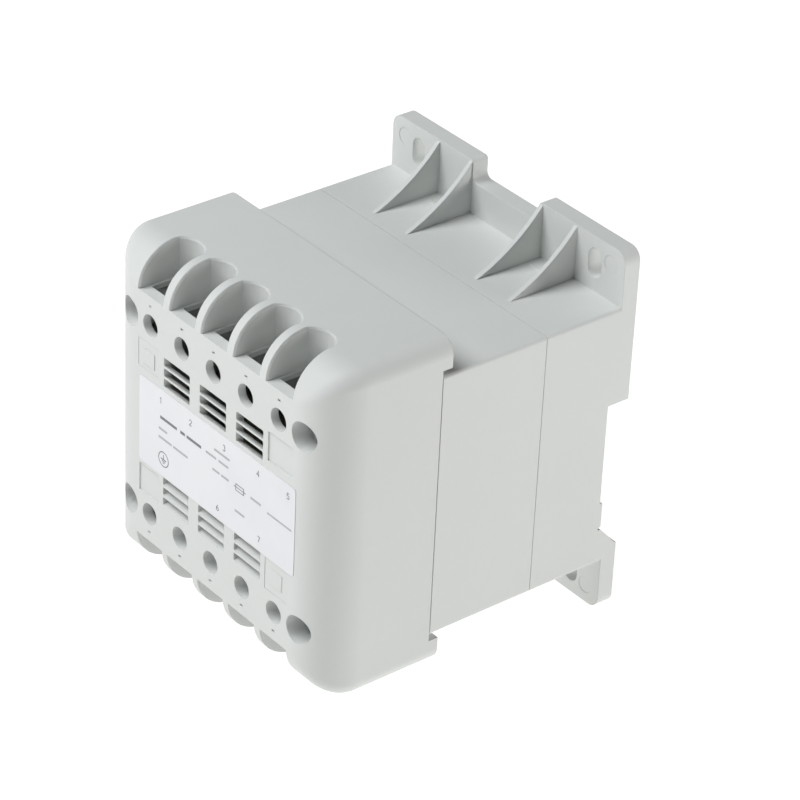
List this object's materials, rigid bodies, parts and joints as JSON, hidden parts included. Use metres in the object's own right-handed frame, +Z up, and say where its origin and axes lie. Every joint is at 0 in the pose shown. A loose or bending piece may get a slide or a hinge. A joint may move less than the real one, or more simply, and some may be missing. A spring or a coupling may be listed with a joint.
{
  "type": "enclosed dry type control transformer",
  "caption": "Enclosed dry type transformer in a pale grey moulded case, with wire scoops, clamp terminals, vents, slotted ears and a rail channel at the back.",
  "frame": {"origin": "centre of the mounting plane at the back, at mid-height and mid-width", "axes": "+X to the right seen from the front, +Y into the wall, +Z up"},
  "size_m": [0.088, 0.0921, 0.1018],
  "materials": {
    "shell_plastic": "fine moulded matt",
    "label_film": "matt film",
    "latch_plastic": "matt",
    "spring_steel": "bright",
    "core_steel": "laminated sheet",
    "bobbin_plastic": "glass filled",
    "enamelled_wire": "enamelled copper wire",
    "wrap_tape": "polyester tape",
    "strip_plastic": "matt",
    "clamp_metal": "zinc plated",
    "screw_metal": "zinc plated",
    "bar_brass": "tinned",
    "lead_insulation": "sleeving",
    "earth_insulation": "sleeving"
  },
  "bodies": {
    "case": {"terminal_housing": "shell_plastic", "middle_sleeve": "shell_plastic", "rear_base": "shell_plastic", "rating_label": "label_film", "latch_spring": "spring_steel", "core_e_stack": "core_steel", "core_i_stack": "core_steel", "bobbin": "bobbin_plastic", "primary_winding": "enamelled_wire", "secondary_winding": "enamelled_wire", "primary_wrap": "wrap_tape", "secondary_wrap": "wrap_tape", "terminal_strip_top": "strip_plastic", "terminal_strip_bottom": "strip_plastic", "clamp_cages_top": "clamp_metal", "clamp_cages_bottom": "clamp_metal", "clamp_screws_top": "screw_metal", "clamp_screws_bottom": "screw_metal", "contact_bars_top": "bar_brass", "contact_bars_bottom": "bar_brass", "primary_leads": "lead_insulation", "secondary_leads": "lead_insulation", "earth_tag": "bar_brass", "earth_lead": "earth_insulation", "housing_screws": "screw_metal", "housing_nuts": "screw_metal"},
    "latch": {"rail_latch": "latch_plastic"}
  },
  "joints": [
    {"name": "latch_slide", "type": "slide", "parent": "case", "child": "latch", "axis": [0, 0, -1], "range_m": [0, 0.0025], "stiffness_N_per_m": 1500, "springref_m": -0.002, "deforming": ["latch_spring"]}
  ]
}
